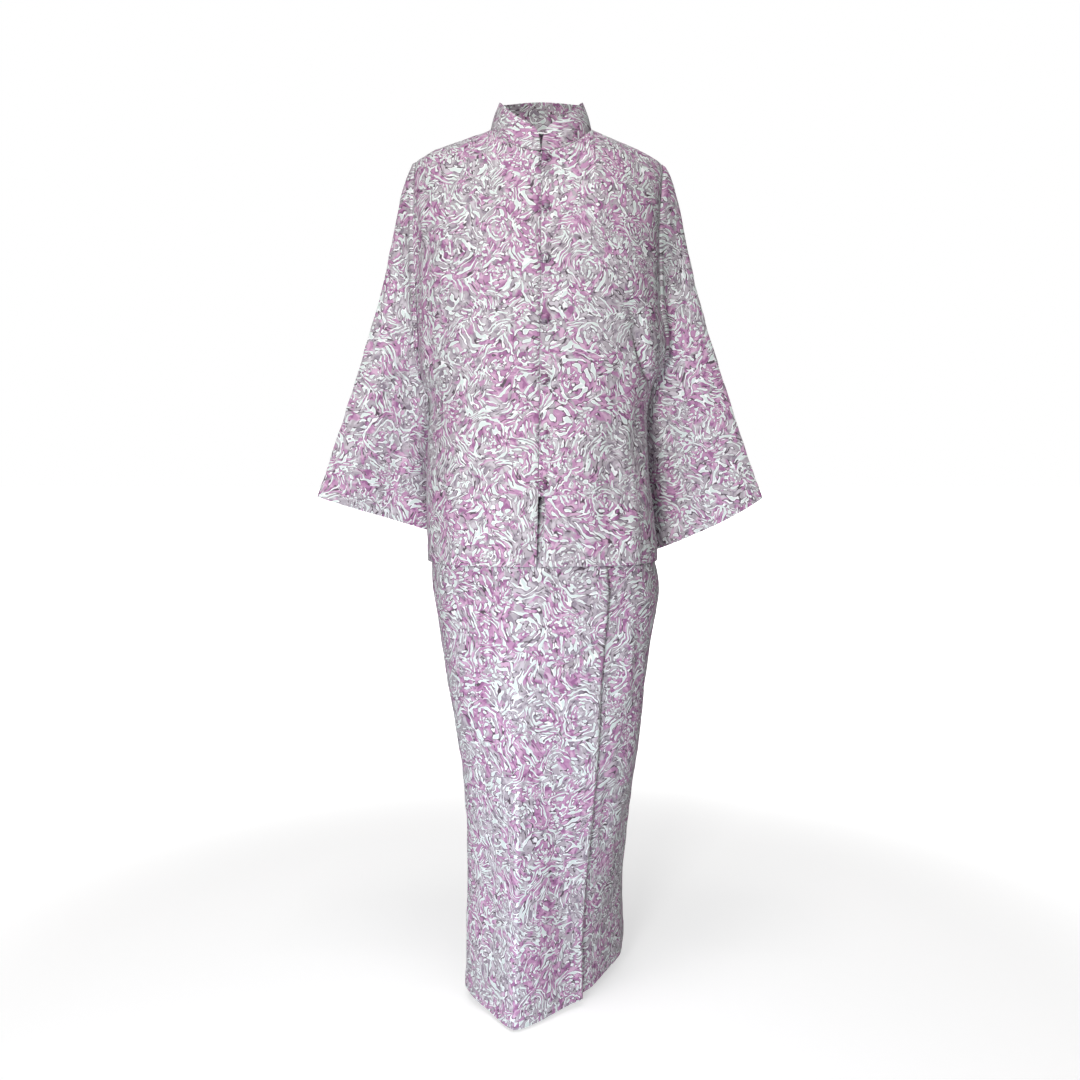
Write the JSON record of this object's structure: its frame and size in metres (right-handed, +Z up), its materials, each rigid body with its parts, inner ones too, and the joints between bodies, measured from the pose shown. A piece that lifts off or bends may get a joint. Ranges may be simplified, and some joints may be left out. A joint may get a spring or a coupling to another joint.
{
  "type": "baju kurung",
  "caption": "Two-piece dress in its worn, hollow form: a front-buttoned jacket with stand collar and wide sleeves over a long wrapped skirt.",
  "frame": {"origin": "midway between the two points where the neckline meets the shoulder seams, where the wearer's shoulders carry the jacket", "axes": "+Z up along the wearer's height, the wearer faces -Y, +X towards the wearer's left"},
  "size_m": [0.6565, 0.3193, 1.3101],
  "materials": {
    "printed_cotton": "soft satin sheen",
    "button_cloth": "soft satin sheen"
  },
  "bodies": {
    "root": {"jacket_front_right": "printed_cotton", "jacket_front_left": "printed_cotton", "jacket_back": "printed_cotton", "button_stand": "printed_cotton", "collar": "printed_cotton", "sleeve_right": "printed_cotton", "sleeve_left": "printed_cotton", "skirt_front_over": "printed_cotton", "skirt_back": "printed_cotton", "skirt_front_under": "printed_cotton", "skirt_waistband": "printed_cotton", "button_1": "button_cloth", "button_2": "button_cloth", "button_3": "button_cloth", "button_4": "button_cloth", "button_5": "button_cloth", "button_6": "button_cloth", "button_7": "button_cloth", "loop_1": "button_cloth", "loop_2": "button_cloth", "loop_3": "button_cloth", "loop_4": "button_cloth", "loop_5": "button_cloth", "loop_6": "button_cloth", "loop_7": "button_cloth"}
  },
  "joints": []
}
